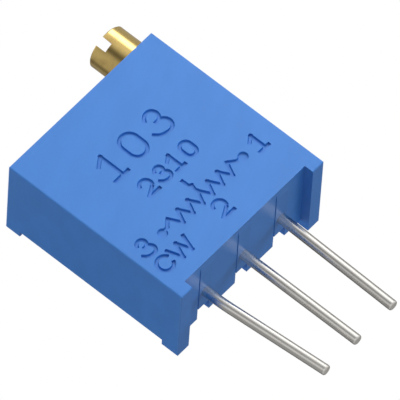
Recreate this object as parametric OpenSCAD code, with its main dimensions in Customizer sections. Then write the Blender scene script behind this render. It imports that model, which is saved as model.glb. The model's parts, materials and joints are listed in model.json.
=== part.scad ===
// Square multi-turn trimmer potentiometer, 25 turns, top adjust, three pins in a row.
// Millimetres. +Z is up from the board, -Y is the marked face, +X is the screw's side.
// The origin is on the middle pin's axis, in the plane of the standoffs' ends.

/* [Body] */
// Width of the housing across the pin row
body_w = 9.53; // [9.3:0.01:13]
// Depth of the housing from the marked face to the ends of the rear feet
body_d = 4.83; // [4.7:0.01:7]
// Height of the housing from the standoffs' ends to the screw face
body_h = 10.03; // [9.4:0.01:14]
// Radius of the moulded outer edges
edge_r = 0.07; // [0.03:0.01:0.2]
// Thickness of the wall behind the marked face
front_wall = 0.75; // [0.6:0.01:0.8]
// Thickness of the two side walls
side_wall = 0.55; // [0.5:0.01:0.7]
// Thickness of the wall that the screw passes through
screw_wall = 0.93; // [0.85:0.01:1.2]
// Thickness of the wall that the pins pass through
pin_wall = 0.72; // [0.6:0.01:1]

/* [Feet] */
// Height of the standoffs on the pin end
standoff_h = 0.48; // [0.3:0.01:0.8]
// Width of each standoff
standoff_w = 0.74; // [0.5:0.01:1]
// Height of the rear feet over the back rim
rear_foot_h = 0.4; // [0.2:0.01:0.6]
// Width of each rear foot
rear_foot_w = 0.74; // [0.5:0.01:1]
// Length of the rear feet at the screw end
rear_foot_top = 0.82; // [0.5:0.01:0.9]
// Length of the rear feet at the pin end
rear_foot_bottom = 0.93; // [0.6:0.01:1.1]

/* [Terminals] */
// Diameter of a pin
pin_d = 0.51; // [0.4:0.01:0.6]
// Spacing of the pins
pin_pitch = 2.54; // [2.3:0.01:2.6]
// Distance of the pin row behind the marked face
pin_depth = 2.47; // [2.3:0.005:2.6]
// Reach of the pins below the standoffs
pin_reach = 6.2; // [3:0.1:15]
// Reach of the pins above the housing's floor
pin_inside = 0.95; // [0.8:0.05:1.1]
// Length of the cropped cone at a pin's tip
pin_tip = 0.1; // [0.02:0.01:0.2]
// Thickness of the flat that is pressed into a pin and locks it in its plug
pin_flat_t = 0.36; // [0.3:0.01:0.4]
// Width of the flat
pin_flat_w = 0.6; // [0.52:0.01:0.7]
// Length of the flat
pin_flat_len = 0.58; // [0.55:0.01:0.6]
// Lean of the left, middle and right pin towards the right, in degrees
pin_lean = [4.6, 0, -1.3]; // [-6:0.1:6]
// Straight length of each of these pins between its plug and its bend
pin_straight = [1, 0, 0]; // [0:0.1:3]
// Width of the slot that each pin is laid in
slot_w = 0.79; // [0.75:0.01:1]
// Distance of the slots' closed ends behind the marked face
slot_start = 0.27; // [0.2:0.01:0.5]
// Distance of the plugs' rear faces behind the marked face
plug_end = 3.6; // [3.4:0.01:4]
// Stand of the plugs over the pin face
plug_proud = 0.03; // [0.02:0.01:0.2]
// Length of the slope at each plug's leading end
plug_lead = 0.3; // [0.1:0.01:0.5]
// Depth of the open notch behind each plug
notch_depth = 0.45; // [0.3:0.01:0.5]

/* [Screw] */
// Distance of the screw's axis from the side and from the marked face
screw_inset = 1.264; // [1.25:0.001:1.4]
// Diameter of the screw's head
head_d = 2.19; // [2:0.01:2.4]
// Height of the head's top over the screw face
head_reach = 1.53; // [1:0.01:2.5]
// Gap under the head
head_gap = 0.05; // [0.03:0.01:0.2]
// Width of the driver slot
driver_w = 0.48; // [0.3:0.01:0.7]
// Depth of the driver slot
driver_depth = 0.56; // [0.3:0.01:0.8]
// Turn of the driver slot at rest, in degrees
driver_turn = -26; // [-90:1:90]
// Bevel of the head's rim
head_bevel = 0.06; // [0.02:0.01:0.2]
// Diameter of the neck
neck_d = 1.6; // [1.5:0.01:1.62]
// Thickness of the seal ring's cord
seal_cord = 0.35; // [0.3:0.01:0.36]
// Distance of the seal ring below the screw face
seal_drop = 0.5; // [0.4:0.01:0.6]
// Diameter of the pivot at the screw's lower end
pivot_d = 0.8; // [0.6:0.01:0.9]
// Depth of the pivot's socket in the floor
pivot_depth = 0.25; // [0.15:0.01:0.3]
// Thickness of the retaining clip
clip_t = 0.23; // [0.15:0.01:0.3]
// Distance of the clip below the inside of the screw wall
clip_drop = 0.2; // [0.15:0.01:0.3]
// Half width of the clip
clip_half = 0.95; // [0.9:0.01:0.97]

/* [Gears] */
// Number of teeth on the worm wheel
wheel_teeth = 30; // [28:1:31]
// Module of the teeth
tooth_module = 0.19; // [0.17:0.005:0.19]
// Radius of the worm at its pitch line
worm_pitch_r = 0.651; // [0.63:0.001:0.66]
// Play between the teeth, along the pitch line
backlash = 0.1; // [0.08:0.01:0.16]
// Slope of the teeth's flanks, in degrees
flank = 20; // [15:1:22]
// Length of the threaded part of the worm
worm_len = 4.4; // [3:0.1:4.8]
// Radius of the post that the wheel turns on
post_r = 0.7; // [0.5:0.01:0.9]
// Travel of the wheel each way from the middle, in degrees
travel = 150; // [100:1:150]
// Radius of the circle that the stop peg stands on
stop_circle = 1.9; // [1.6:0.01:2]
// Radius of the stop peg
stop_peg_r = 0.22; // [0.15:0.01:0.25]

/* [Element] */
// Thickness of the ceramic substrate
substrate_t = 0.635; // [0.5:0.005:0.8]
// Thickness of the printed films
film_t = 0.03; // [0.02:0.005:0.05]
// Thickness of the solder between a pin and its film
solder_t = 0.02; // [0.01:0.005:0.04]
// Thickness of the solder around a pin
solder_fillet = 0.13; // [0.08:0.01:0.18]
// Middle radius of the resistive track
track_r = 2.25; // [2:0.01:2.3]
// Width of the resistive track
track_w = 0.6; // [0.4:0.01:0.7]
// Radius of the collector's disc
collector_r = 0.8; // [0.6:0.01:1]
// Width of the printed leads
lead_w = 0.5; // [0.3:0.01:0.6]
// Width of the pads that the pins are soldered to
pad_w = 0.84; // [0.7:0.01:1]
// Number of fingers on the wiper
fingers = 5; // [3:1:6]
// Thickness of the wiper's strip
wiper_t = 0.1; // [0.06:0.01:0.12]
// Sink of the rear seal below the back rim
seal_sink = 0.25; // [0.1:0.01:0.4]

/* [Markings] */
// Depth of the engraved marks
mark_depth = 0.11; // [0.05:0.01:0.2]
// Width of the marks' strokes at the face
mark_stroke = 0.19; // [0.15:0.01:0.22]
// Width of the slope on each side of a stroke
mark_slope = 0.035; // [0.01:0.005:0.06]

/* [Fits] */
// Radial play of turning parts
run_gap = 0.04; // [0.03:0.005:0.05]
// Play between fitted parts, and around the seal ring
fit_gap = 0.01; // [0.005:0.005:0.03]
// Space between the wheel's teeth and the cavity
cavity_gap = 0.12; // [0.08:0.01:0.2]

/* [Hidden] */

$fn = 48;
over = 0.2;
mark_rise = 0.05;

// Faces of the housing
left_x = -body_w / 2;
right_x = body_w / 2;
front_y = -pin_depth;
back_y = front_y + body_d;
rim_y = back_y - rear_foot_h;
cavity_y = front_y + front_wall;
pin_face_z = standoff_h;
floor_z = pin_face_z + pin_wall;
ceiling_z = body_h - screw_wall;
pocket_w = body_w - 2 * side_wall;
pocket_h = ceiling_z - floor_z;

// Layers behind the pins
film_y = pin_d / 2 + solder_t;
substrate_y = film_y + film_t;
seal_y = substrate_y + substrate_t;
seal_back_y = rim_y - seal_sink;

// Worm and wheel
pitch = PI * tooth_module;
wheel_pitch_r = tooth_module * wheel_teeth / 2;
addendum = 0.84 * tooth_module;
dedendum = 1.16 * tooth_module;
wheel_tip_r = wheel_pitch_r + addendum;
wheel_root_r = wheel_pitch_r - dedendum;
worm_tip_r = worm_pitch_r + addendum;
worm_root_r = worm_pitch_r - dedendum;
tooth_half = (pitch / 2 - backlash / 2) / 2;
tip_half = tooth_half - addendum * tan(flank);
root_half = tooth_half + dedendum * tan(flank);
lead_angle = atan(tooth_module / (2 * worm_pitch_r));

// Screw
screw_x = right_x - screw_inset;
screw_y = front_y + screw_inset;
collar_r = worm_tip_r + 0.5 * run_gap;
channel_r = collar_r + run_gap;
bore_r = neck_d / 2 + 1.25 * run_gap;
seal_z = body_h - seal_drop;
// The seal ring grips the screw's core, and clears the bore by the play of fitted parts
seal_ring_r = bore_r - fit_gap - seal_cord / 2;
core_r = seal_ring_r - seal_cord / 2;
clip_z = ceiling_z - clip_drop - clip_t;

// Wheel
wheel_x = screw_x - worm_pitch_r - wheel_pitch_r;
wheel_z = (floor_z + ceiling_z) / 2;
wheel_front_y = cavity_y + run_gap;
rim_half = screw_y - wheel_front_y;
hub_back_y = wheel_front_y + 2 * rim_half + 0.33;
post_end_y = hub_back_y - 0.3;
wiper_y = hub_back_y;
wiper_base_r = 1.2;
finger_reach = 1.35;
arm_x = -finger_reach - 0.3;
arm_z = track_r + track_w / 2 - 0.02;
cavity_r = max(wheel_tip_r, norm([arm_x, arm_z])) + cavity_gap;
stake_x = 0.9;
stake_r = 0.16;
stop_groove_depth = 0.4;

// Terminals
plug_front_y = front_y + slot_start;
plug_back_y = front_y + plug_end;
plug_z = pin_face_z - plug_proud;
pin_top_z = floor_z + pin_inside;

// Angle of the stop land's edges, so that it meets the peg just past the travel
stop_half = 180 - travel - asin(stop_peg_r / stop_circle) - 0.5;

function pin_x(number) = (2 - number) * pin_pitch;
function polar(r, a) = [r * cos(a), r * sin(a)];

// ---------------------------------------------------------------- flat shapes

// A rectangle with its corners rounded by true arcs
module rounded_rect(w, h, r) {
    square([w - 2 * r, h], center = true);
    square([w, h - 2 * r], center = true);
    for (sx = [-1, 1])
        for (sy = [-1, 1])
            translate([sx * (w / 2 - r), sy * (h / 2 - r)])
                circle(r);
}

// A wedge from the origin between two angles
module wedge(r, from, to) {
    steps = ceil((to - from) / 40);
    polygon(concat([[0, 0]], [for (i = [0:steps]) polar(r, from + (to - from) * i / steps)]));
}

// Part of a ring, between two angles
module ring_sector(r, w, from, to) {
    intersection() {
        difference() {
            circle(r + w / 2);
            circle(r - w / 2);
        }
        wedge(2 * r + w, from, to);
    }
}

// A straight stroke with round ends
module bar(a, b, w) {
    run = b - a;
    translate(a)
        rotate(atan2(run[1], run[0]))
            translate([0, -w / 2])
                square([norm(run), w]);
    translate(a)
        circle(d = w);
    translate(b)
        circle(d = w);
}

// A chain of straight strokes
module chain(points, w) {
    for (i = [1:len(points) - 1])
        bar(points[i - 1], points[i], w);
}

// ---------------------------------------------------------------- marks

// Section of a mark's groove: a flat bottom and sides that lean outwards, past the face
module groove_section() {
    lean = mark_slope / mark_depth;
    polygon([
        [mark_slope - mark_stroke / 2, -mark_depth],
        [mark_stroke / 2 - mark_slope, -mark_depth],
        [mark_stroke / 2 + lean * mark_rise, mark_rise],
        [-mark_stroke / 2 - lean * mark_rise, mark_rise]
    ]);
}

// A straight groove between two points. An end is cut square half a stroke past its point
// where its share is 1, and at its point where it is 0.
module groove(a, b, share = [1, 1]) {
    past = share * mark_stroke / 2;
    run = b - a;
    translate([a[0], a[1], 0])
        rotate([0, 0, atan2(run[1], run[0])])
            translate([-past[0], 0, 0])
                rotate([90, 0, 90])
                    linear_extrude(norm(run) + past[0] + past[1])
                        groove_section();
}

// Straight grooves from point to point
module grooves(points) {
    for (i = [1:len(points) - 1])
        groove(points[i - 1], points[i]);
}

// A groove bent round a centre, between two angles
module bent_groove(centre, r, from, to) {
    translate([centre[0], centre[1], 0])
        rotate([0, 0, from])
            rotate_extrude(angle = to - from)
                translate([r, 0])
                    groove_section();
}

// Figures 0 to 3 of height h, with the lower left end of their middle line at the origin
module figure_0(h) {
    r = 0.34 * h;
    bent_groove([r, h - r], r, 0, 180);
    bent_groove([r, r], r, 180, 360);
    groove([0, r], [0, h - r], [0, 0]);
    groove([2 * r, r], [2 * r, h - r], [0, 0]);
}

module figure_1(h) {
    grooves([[0.04 * h, 0.77 * h], [0.38 * h, h], [0.38 * h, 0]]);
    groove([0, 0], [0.6 * h, 0]);
}

module figure_2(h) {
    r = 0.36 * h;
    turn = -38;
    bent_groove([r, h - r], r, turn, 172);
    groove([r, h - r] + polar(r, turn), [0, 0.07 * h], [0, 1]);
    groove([0, 0], [2 * r, 0]);
}

module figure_3(h) {
    upper = 0.235 * h;
    lower = 0.265 * h;
    crown = 0.33 * h;
    sole = 0.8 * h;
    side = 0.46 * h;
    bent_groove([side, h - upper], upper, -80, 90);
    bent_groove([side, h - crown], crown, 90, 165);
    bent_groove([side + 0.05 * h, lower], lower, -90, 80);
    bent_groove([side + 0.05 * h, sole], sole, 240, 270);
    groove([side + 0.05 * h, sole] + polar(sole, 240), [-0.02 * h, 0.25 * h], [0, 1]);
    groove([side - 0.06 * h, 0.53 * h], [side + 0.1 * h, 0.53 * h]);
}

module letter_c(h) {
    bent_groove([h / 2, h / 2], h / 2, 18, 336);
}

module letter_w(h) {
    grooves([[0, h], [0.35 * h, 0], [0.76 * h, 0.97 * h], [1.12 * h, 0], [1.46 * h, h]]);
}

// The circuit sign: a zigzag with a round terminal at each end and the wiper in the middle
module resistor_sign() {
    zigs = 6;
    step = 0.66;
    high = 0.63;
    dot_r = 0.25;
    lean = mark_slope / mark_depth;
    first = -step * (zigs - 1) / 2;
    for (i = [0:zigs - 1])
        for (side = [-1, 1]) {
            x = first + i * step;
            groove([x, 0], [x + side * step / 2, high]);
        }
    grooves([[0, high], [-0.02, 0.75], [0.05, 1], [-0.07, 1.1], [-0.07, 1.43]]);
    for (side = [-1, 1]) {
        end = side * step * zigs / 2;
        grooves([[end, high], [end + side * 0.35, 0.36], [end + side * 0.7, 0.33]]);
        translate([end + side * 0.71, 0.31, -mark_depth])
            cylinder(h = mark_depth + mark_rise, r1 = dot_r - mark_slope, r2 = dot_r + lean * mark_rise);
    }
}

// All the engraved marks, as solids that stand on their floor, seen from the front
module marks() {
    end_row = 2.45;
    middle_row = 1.33;
    letter_row = 1.33;
    code_row = 6.08;
    code_h = 1.35;
    date_row = 4.45;
    date_h = 0.82;
    spread = 1.1;
    translate([left_x + 0.52, end_row - 0.03, 0])
        figure_3(0.91);
    translate([right_x - 1.48, end_row - 0.05, 0])
        figure_1(0.87);
    translate([-0.11, end_row + 0.05, 0])
        resistor_sign();
    translate([-0.365, middle_row, 0])
        figure_2(0.87);
    translate([left_x + 0.5, letter_row, 0])
        letter_c(0.765);
    translate([left_x + 1.4, letter_row, 0])
        letter_w(0.74);
    // Value code, 10 with three noughts
    translate([-1.45 * spread * code_h, code_row, 0]) {
        figure_1(code_h);
        translate([spread * code_h, 0, 0])
            figure_0(code_h);
        translate([2 * spread * code_h, 0, 0])
            figure_3(code_h);
    }
    // Date code, a year and a week
    translate([-1.9 * spread * date_h, date_row, 0]) {
        figure_2(date_h);
        translate([spread * date_h, 0, 0])
            figure_3(date_h);
        translate([2 * spread * date_h, 0, 0])
            figure_1(date_h);
        translate([3 * spread * date_h, 0, 0])
            figure_0(date_h);
    }
}

// ---------------------------------------------------------------- housing

// The outer block, with every long edge rounded
module outer_block() {
    mid_y = (front_y + back_y) / 2;
    translate([0, mid_y, body_h / 2])
        intersection() {
            linear_extrude(body_h, center = true)
                rounded_rect(body_w, body_d, edge_r);
            rotate([90, 0, 0])
                linear_extrude(body_d, center = true)
                    rounded_rect(body_w, body_h, edge_r);
            rotate([0, 90, 0])
                linear_extrude(body_w, center = true)
                    rounded_rect(body_h, body_d, edge_r);
        }
}

// The outside, with the space under the floor and the step behind the rim taken away
module outer_shape() {
    difference() {
        outer_block();
        translate([left_x + standoff_w, front_y - over, -over])
            cube([body_w - 2 * standoff_w, body_d + 2 * over, pin_face_z + over]);
        translate([left_x + rear_foot_w, rim_y, -over])
            cube([body_w - 2 * rear_foot_w, rear_foot_h + over, body_h + 2 * over]);
        translate([left_x - over, rim_y, rear_foot_bottom])
            cube([body_w + 2 * over, rear_foot_h + over, body_h - rear_foot_bottom - rear_foot_top]);
    }
}

// The round cavity of the wheel
module wheel_cavity() {
    translate([wheel_x, cavity_y, wheel_z])
        rotate([-90, 0, 0])
            cylinder(h = substrate_y + over - cavity_y, r = cavity_r);
}

// The pocket that the substrate and the rear seal fill
module rear_pocket() {
    translate([-pocket_w / 2, substrate_y, floor_z])
        cube([pocket_w, back_y + over - substrate_y, pocket_h]);
}

// The space of the pins' upper ends in front of the substrate
module terminal_pocket() {
    reach = 2 * pin_pitch + 1.5;
    translate([-reach / 2, -0.45, floor_z])
        cube([reach, substrate_y + 0.45 + over, wheel_z - wheel_root_r - floor_z + 0.4]);
}

// The screw's channel, its bore, its pivot socket and the groove of the clip
module screw_space() {
    translate([screw_x, screw_y, 0]) {
        translate([0, 0, floor_z])
            cylinder(h = pocket_h, r = channel_r);
        translate([-channel_r, 0, floor_z])
            cube([2 * channel_r, substrate_y - screw_y, pocket_h]);
        translate([0, 0, ceiling_z - over])
            cylinder(h = screw_wall + 2 * over, r = bore_r);
        translate([0, 0, floor_z - pivot_depth])
            cylinder(h = pivot_depth + over, r = pivot_d / 2 + run_gap);
        translate([-clip_half - fit_gap, -0.32, clip_z - fit_gap])
            cube([2 * (clip_half + fit_gap), substrate_y - screw_y + 0.32, clip_t + 2 * fit_gap]);
    }
}

// The slots that the pins and their plugs are laid in from behind
module pin_slots() {
    for (number = [1:3])
        translate([pin_x(number) - slot_w / 2, plug_front_y, pin_face_z - over])
            cube([slot_w, back_y + over - plug_front_y, pin_wall + 2 * over]);
}

// The post of the wheel, with a bevelled end, and the stop peg
module wheel_post() {
    translate([wheel_x, cavity_y - over, wheel_z])
        rotate([-90, 0, 0]) {
            cylinder(h = post_end_y - cavity_y + over - 0.1, r = post_r);
            translate([0, 0, post_end_y - cavity_y + over - 0.1])
                cylinder(h = 0.1, r1 = post_r, r2 = post_r - 0.1);
        }
    translate([wheel_x, cavity_y - over, wheel_z - stop_circle])
        rotate([-90, 0, 0])
            cylinder(h = over + run_gap + stop_groove_depth - 0.06, r = stop_peg_r);
}

module housing() {
    color("cornflowerblue")
        difference() {
            union() {
                difference() {
                    outer_shape();
                    wheel_cavity();
                    rear_pocket();
                    terminal_pocket();
                    screw_space();
                }
                wheel_post();
            }
            pin_slots();
            translate([0, front_y, 0])
                rotate([90, 0, 0])
                    marks();
        }
}

// ---------------------------------------------------------------- screw

// One right-handed thread with its core. Each step holds four points of the profile, and
// the turns share their edges, so the lands between them close by themselves.
module worm_thread(turns, turn_steps) {
    steps = turns * turn_steps;
    profile = [
        [worm_root_r, -root_half],
        [worm_tip_r, -tip_half],
        [worm_tip_r, tip_half],
        [worm_root_r, root_half]
    ];
    points = [
        for (i = [0:steps])
            for (k = [0:3])
                let (a = 360 * i / turn_steps)
                    [
                        profile[k][0] * cos(a),
                        profile[k][0] * sin(a),
                        profile[k][1] + pitch * i / turn_steps
                    ]
    ];
    low = len(points);
    high = low + 1;
    last = steps - turn_steps;
    flanks = [
        for (i = [0:steps - 1])
            for (k = [0:2])
                each two_faces(at(i, k), at(i, k + 1), at(i + 1, k + 1), at(i + 1, k))
    ];
    lands = [
        for (i = [0:last - 1])
            each two_faces(
                at(i, 3),
                at(i + turn_steps, 0),
                at(i + 1 + turn_steps, 0),
                at(i + 1, 3)
            )
    ];
    low_loop = concat([for (i = [0:turn_steps]) at(i, 0)], [at(0, 3), at(0, 2), at(0, 1)]);
    high_loop = concat(
        [for (i = [0:turn_steps]) at(last + i, 3)],
        [at(steps, 2), at(steps, 1), at(steps, 0)]
    );
    polyhedron(
        points = concat(points, [[0, 0, 0], [0, 0, pitch * turns]]),
        faces = concat(flanks, lands, fan(low, low_loop, false), fan(high, high_loop, true)),
        convexity = 8
    );
}

function at(i, k) = 4 * i + k;
function two_faces(a, b, c, d) = [[a, b, c], [a, c, d]];
function fan(centre, loop, flip) = [
    for (i = [0:len(loop) - 1])
        let (a = loop[i], b = loop[(i + 1) % len(loop)])
            flip ? [centre, b, a] : [centre, a, b]
];

module adjustment_screw() {
    head_z = body_h + head_gap;
    head_h = head_reach - head_gap;
    worm_z = wheel_z - worm_len / 2;
    worm_top = wheel_z + worm_len / 2;
    foot_z = floor_z + 0.1;
    // The thread's two ends are buried in the collars
    half_turns = ceil((worm_len / 2 + pitch) / pitch);
    color("goldenrod")
        translate([screw_x, screw_y, 0]) {
            difference() {
                union() {
                    translate([0, 0, head_z])
                        cylinder(h = head_h - head_bevel, d = head_d);
                    translate([0, 0, head_z + head_h - head_bevel])
                        cylinder(h = head_bevel, d1 = head_d, d2 = head_d - 2 * head_bevel);
                }
                rotate(driver_turn)
                    translate([-driver_w / 2, -head_d, head_z + head_h - driver_depth])
                        cube([driver_w, 2 * head_d, driver_depth + over]);
            }
            // Neck between the head and the seal's groove
            translate([0, 0, seal_z + seal_cord / 2 + fit_gap])
                cylinder(h = head_z - seal_z - seal_cord / 2 - fit_gap + 0.01, d = neck_d);
            // Neck between the two grooves
            translate([0, 0, clip_z + clip_t + fit_gap])
                cylinder(h = seal_z - seal_cord / 2 - fit_gap - clip_z - clip_t - fit_gap, d = neck_d);
            // Core through both grooves
            translate([0, 0, clip_z - 0.1])
                cylinder(h = seal_z + seal_cord / 2 + 0.2 - clip_z, r = core_r);
            // Upper and lower bearing collars
            translate([0, 0, worm_top])
                cylinder(h = clip_z - fit_gap - worm_top, r = collar_r);
            translate([0, 0, foot_z])
                cylinder(h = worm_z - foot_z, r = collar_r);
            // Pivot
            translate([0, 0, floor_z - pivot_depth + 0.05])
                cylinder(h = foot_z - floor_z + pivot_depth, d = pivot_d);
            // Thread, with a crest facing the wheel's axis at its own height
            translate([0, 0, wheel_z - half_turns * pitch])
                rotate(180)
                    worm_thread(2 * half_turns, 24);
        }
}

module screw_seal() {
    color("dimgray")
        translate([screw_x, screw_y, seal_z])
            rotate_extrude()
                translate([seal_ring_r, 0])
                    circle(d = seal_cord);
}

// A flat fork that is pushed over the neck from behind
module screw_clip() {
    back = film_y - screw_y;
    grip = core_r + 2 * fit_gap;
    color("silver")
        translate([screw_x, screw_y, clip_z])
            difference() {
                translate([-clip_half, -0.3, 0])
                    cube([2 * clip_half, back + 0.3, clip_t]);
                translate([0, 0, -over])
                    cylinder(h = clip_t + 2 * over, r = grip);
                translate([-grip, -0.3 - over, -over])
                    cube([2 * grip, 0.3 + over, clip_t + 2 * over]);
            }
}

// ---------------------------------------------------------------- wheel and wiper

// One tooth, tilted by the worm's lead, pointing along +X
module wheel_tooth() {
    inner = wheel_root_r - 0.15;
    inner_half = root_half + 0.15 * tan(flank);
    outer = wheel_tip_r + 0.1;
    outer_half = tip_half - 0.1 * tan(flank);
    rotate([-lead_angle, 0, 0])
        rotate([90, 0, 0])
            linear_extrude(2 * rim_half + 0.6, center = true)
                polygon([
                    [inner, -inner_half],
                    [outer, -outer_half],
                    [outer, outer_half],
                    [inner, inner_half]
                ]);
}

module worm_wheel() {
    color("ivory")
        translate([wheel_x, screw_y, wheel_z])
            difference() {
                union() {
                    intersection() {
                        union() {
                            for (i = [0:wheel_teeth - 1])
                                rotate([0, (i + 0.5) * 360 / wheel_teeth, 0])
                                    wheel_tooth();
                        }
                        rotate([90, 0, 0])
                            cylinder(h = 2 * rim_half, r = wheel_tip_r, center = true);
                    }
                    rotate([90, 0, 0])
                        cylinder(h = 2 * rim_half, r = wheel_root_r, center = true);
                    translate([0, rim_half - 0.01, 0])
                        rotate([-90, 0, 0])
                            cylinder(h = hub_back_y - screw_y - rim_half + 0.01, r = wiper_base_r + 0.1);
                    // Staked pins that hold the wiper
                    for (side = [-1, 1])
                        translate([side * stake_x, hub_back_y - screw_y - 0.05, 0])
                            rotate([-90, 0, 0]) {
                                cylinder(h = 0.05 + wiper_t, r = stake_r);
                                translate([0, 0, 0.05 + wiper_t])
                                    cylinder(h = 0.08, r1 = 1.5 * stake_r, r2 = stake_r);
                            }
                }
                // Bore on the post
                translate([0, -rim_half - over, 0])
                    rotate([-90, 0, 0])
                        cylinder(h = over + rim_half + post_end_y - screw_y + run_gap, r = post_r + run_gap);
                // Groove that the stop peg runs in, all round but for the stop land
                translate([0, -rim_half + stop_groove_depth, 0])
                    rotate([90, 0, 0])
                        linear_extrude(stop_groove_depth + over)
                            difference() {
                                circle(stop_circle + stop_peg_r + 0.07);
                                circle(stop_circle - stop_peg_r - 0.07);
                                wedge(2 * wheel_tip_r, 90 - stop_half, 90 + stop_half);
                            }
            }
}

// A strip of the wiper: bent from its base up to the film, curled at the contact
module finger_strip(reach) {
    rise = film_y - wiper_y;
    knee = 0.25;
    linear_extrude(0.09, center = true)
        polygon([
            [-reach, 0],
            [-reach + knee, 0],
            [-0.12, rise - wiper_t - 0.03],
            [0.02, rise - wiper_t],
            [0.2, rise - 1.9 * wiper_t],
            [0.24, rise - 1.1 * wiper_t],
            [0.06, rise],
            [-0.04, rise],
            [-0.16, rise - 0.03],
            [-reach + knee - 0.04, wiper_t],
            [-reach, wiper_t]
        ]);
}

module wiper_spring() {
    spread = track_w - 0.2;
    color("khaki")
        translate([wheel_x, wiper_y, wheel_z]) {
            rotate([90, 0, 0])
                translate([0, 0, -wiper_t])
                    linear_extrude(wiper_t)
                        difference() {
                            union() {
                                circle(wiper_base_r);
                                // Arm that carries the track's fingers
                                polygon([
                                    [-0.45, 0.6],
                                    [arm_x, track_r - 0.3],
                                    [arm_x, arm_z],
                                    [-finger_reach + 0.08, arm_z],
                                    [-0.3, track_r - 0.75]
                                ]);
                            }
                            for (side = [-1, 1])
                                translate([side * stake_x, 0])
                                    circle(stake_r);
                            translate([-0.5, -0.35])
                                square([1.05, 0.7]);
                        }
            // Track contacts, side by side across the track
            for (i = [0:fingers - 1])
                translate([0, 0, track_r - spread / 2 + spread * i / (fingers - 1)])
                    finger_strip(finger_reach);
            // Collector contacts, bent up out of the middle
            for (z = [-0.18, 0, 0.18])
                translate([0.1, 0, z])
                    finger_strip(0.72);
        }
}

// ---------------------------------------------------------------- element

module substrate() {
    color("white")
        translate([-pocket_w / 2 + fit_gap, substrate_y, floor_z + fit_gap])
            cube([pocket_w - 2 * fit_gap, substrate_t, pocket_h - 2 * fit_gap]);
}

// Puts a flat shape on the substrate as a printed film
module film() {
    translate([wheel_x, substrate_y, wheel_z])
        rotate([90, 0, 0])
            linear_extrude(film_t)
                children();
}

track_half = travel + 4;
pad_z = floor_z + 0.12 - wheel_z;
pad_h = pin_inside + 0.1;

// Where a printed lead meets its pin's pad
function lead_end(number) = [pin_x(number) - wheel_x, pad_z + pad_h - lead_w / 2];

module track_shape() {
    ring_sector(track_r, track_w, 90 - track_half, 90 + track_half);
}

module pin_pad(number) {
    translate([lead_end(number)[0] - pad_w / 2, pad_z])
        square([pad_w, pad_h]);
}

module resistive_track() {
    color("black")
        film()
            track_shape();
}

module collector() {
    color("gainsboro")
        film() {
            circle(collector_r);
            chain([[0, 0], [0, -track_r - track_w / 2], lead_end(2)], lead_w);
            pin_pad(2);
        }
}

// The lead from one end of the track down to its pin
module end_pad(number) {
    side = number == 1 ? 1 : -1;
    turn = side > 0 ? 90 - track_half - 9 : 90 + track_half;
    color("gainsboro")
        film()
            difference() {
                union() {
                    ring_sector(track_r, track_w, turn, turn + 9);
                    bar(polar(track_r, 90 - side * (track_half + 5)), lead_end(number), lead_w);
                    pin_pad(number);
                }
                track_shape();
            }
}

module rear_seal() {
    color("lightsteelblue") {
        translate([-pocket_w / 2, seal_y, floor_z])
            cube([pocket_w, seal_back_y - seal_y, pocket_h]);
        for (number = [1:3])
            translate([pin_x(number) - slot_w / 2, plug_back_y, pin_face_z + notch_depth])
                cube([slot_w, seal_back_y - plug_back_y, pin_wall - notch_depth + 0.01]);
    }
}

// ---------------------------------------------------------------- terminals

// The upright part of a pin, with the pressed flat that the plug holds
module pin_root(bottom_z) {
    flat_z = plug_z + (floor_z - plug_z - pin_flat_len) / 2;
    translate([0, 0, bottom_z])
        cylinder(h = flat_z - bottom_z, d = pin_d);
    translate([-pin_flat_t / 2, -pin_flat_w / 2, flat_z])
        cube([pin_flat_t, pin_flat_w, pin_flat_len]);
    translate([0, 0, flat_z + pin_flat_len])
        cylinder(h = pin_top_z - flat_z - pin_flat_len, d = pin_d);
}

// The upright part, and the leaning wire below the bend, mitred where they meet
module terminal(number) {
    lean = pin_lean[3 - number];
    bend_z = plug_z - pin_straight[3 - number];
    below = (bend_z + pin_reach) / cos(lean);
    mitre = 3 * pin_d;
    color("silver")
        translate([pin_x(number), 0, bend_z]) {
            intersection() {
                translate([0, 0, -bend_z])
                    pin_root(bend_z - pin_d);
                rotate([0, -lean / 2, 0])
                    translate([-mitre, -mitre, 0])
                        cube([2 * mitre, 2 * mitre, pin_top_z - bend_z + mitre]);
            }
            difference() {
                rotate([0, 180 - lean, 0]) {
                    translate([0, 0, -pin_d])
                        cylinder(h = below + pin_d - pin_tip, d = pin_d);
                    translate([0, 0, below - pin_tip])
                        cylinder(h = pin_tip, d1 = pin_d, d2 = pin_d - pin_tip);
                }
                rotate([0, -lean / 2, 0])
                    translate([-mitre, -mitre, 0])
                        cube([2 * mitre, 2 * mitre, mitre]);
            }
        }
}

// The moulded piece that closes the slot around a pin. It is pushed in from behind until
// its leading end seats against the end of the slot.
module terminal_plug(number) {
    color("royalblue")
        difference() {
            translate([pin_x(number) - slot_w / 2 + fit_gap, 0, 0])
                rotate([90, 0, 90])
                    linear_extrude(slot_w - 2 * fit_gap)
                        polygon([
                            [plug_front_y, pin_face_z],
                            [plug_front_y + plug_lead, plug_z],
                            [plug_back_y, plug_z],
                            [plug_back_y, floor_z],
                            [plug_front_y, floor_z]
                        ]);
            translate([pin_x(number), 0, 0])
                pin_root(plug_z - over);
        }
}

// A fillet of solder between a pin and its pad, thickest halfway up
module solder(number) {
    joint_r = pin_d / 2 + solder_fillet;
    joint_z = floor_z + 0.25;
    joint_h = pin_inside - 0.3;
    color("silver")
        intersection() {
            difference() {
                translate([pin_x(number), 0, joint_z]) {
                    cylinder(h = joint_h / 2, r1 = pin_d / 2, r2 = joint_r);
                    translate([0, 0, joint_h / 2])
                        cylinder(h = joint_h / 2, r1 = joint_r, r2 = pin_d / 2);
                }
                translate([pin_x(number), 0, joint_z - over])
                    cylinder(h = joint_h + 2 * over, d = pin_d);
            }
            translate([pin_x(number) - 1, -0.12, joint_z - over])
                cube([2, film_y + 0.12, joint_h + 2 * over]);
        }
}

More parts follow.
